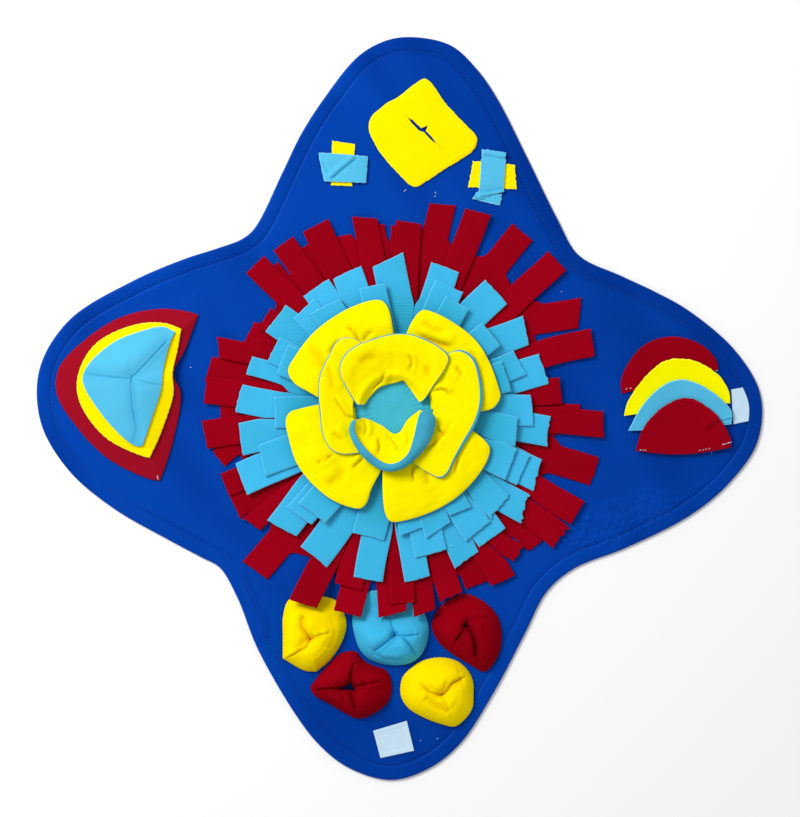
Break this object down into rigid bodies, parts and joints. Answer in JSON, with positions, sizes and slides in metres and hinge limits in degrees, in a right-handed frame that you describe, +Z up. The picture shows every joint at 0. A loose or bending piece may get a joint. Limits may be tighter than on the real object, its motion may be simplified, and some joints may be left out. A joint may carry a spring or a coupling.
{
  "type": "snuffle mat",
  "caption": "Flat lobed cloth mat with fringed fleece strips round a fabric flower, plus small pockets and flaps where treats are hidden for a pet to sniff out.",
  "frame": {"origin": "on the floor under the middle of the mat's outline", "axes": "+Z up, +Y towards the lobe with the slit patch, +X towards the lobe with the half-moon flaps"},
  "size_m": [0.689, 0.7054, 0.0386],
  "materials": {
    "base_cloth": "closely woven coated polyester, slightly crinkled, low sheen",
    "red_fleece": "brushed polar fleece, matt",
    "light_blue_fleece": "brushed polar fleece, matt",
    "yellow_fleece": "brushed polar fleece, matt",
    "petal_fleece": "yellow polar fleece bonded to light-blue polar fleece, matt",
    "white_cloth": "smooth woven tape, satin"
  },
  "bodies": {
    "root": {"base_mat": "base_cloth", "red_fringe_lower": "red_fleece", "red_fringe_upper": "red_fleece", "blue_fringe_lower": "light_blue_fleece", "blue_fringe_middle": "light_blue_fleece", "blue_fringe_upper": "light_blue_fleece", "flower_heart": "light_blue_fleece", "petal_outer_nw": "petal_fleece", "petal_outer_ne": "petal_fleece", "petal_outer_sw": "petal_fleece", "petal_outer_se": "petal_fleece", "petal_mid_w": "petal_fleece", "petal_mid_e": "petal_fleece", "petal_inner_n": "petal_fleece", "petal_inner_s": "petal_fleece", "leaf_red": "red_fleece", "leaf_yellow": "yellow_fleece", "leaf_blue": "light_blue_fleece", "moon_red_back": "red_fleece", "moon_yellow": "yellow_fleece", "moon_blue": "light_blue_fleece", "moon_red_front": "red_fleece", "tab_w_yellow": "yellow_fleece", "tab_w_blue": "light_blue_fleece", "tab_e_yellow": "yellow_fleece", "tab_e_blue": "light_blue_fleece", "slit_patch": "yellow_fleece", "patch_right": "white_cloth", "patch_bottom": "white_cloth", "pod_w_yellow": "yellow_fleece", "pod_n_blue": "light_blue_fleece", "pod_e_red": "red_fleece", "pod_sw_red": "red_fleece", "pod_se_yellow": "yellow_fleece"}
  },
  "joints": []
}
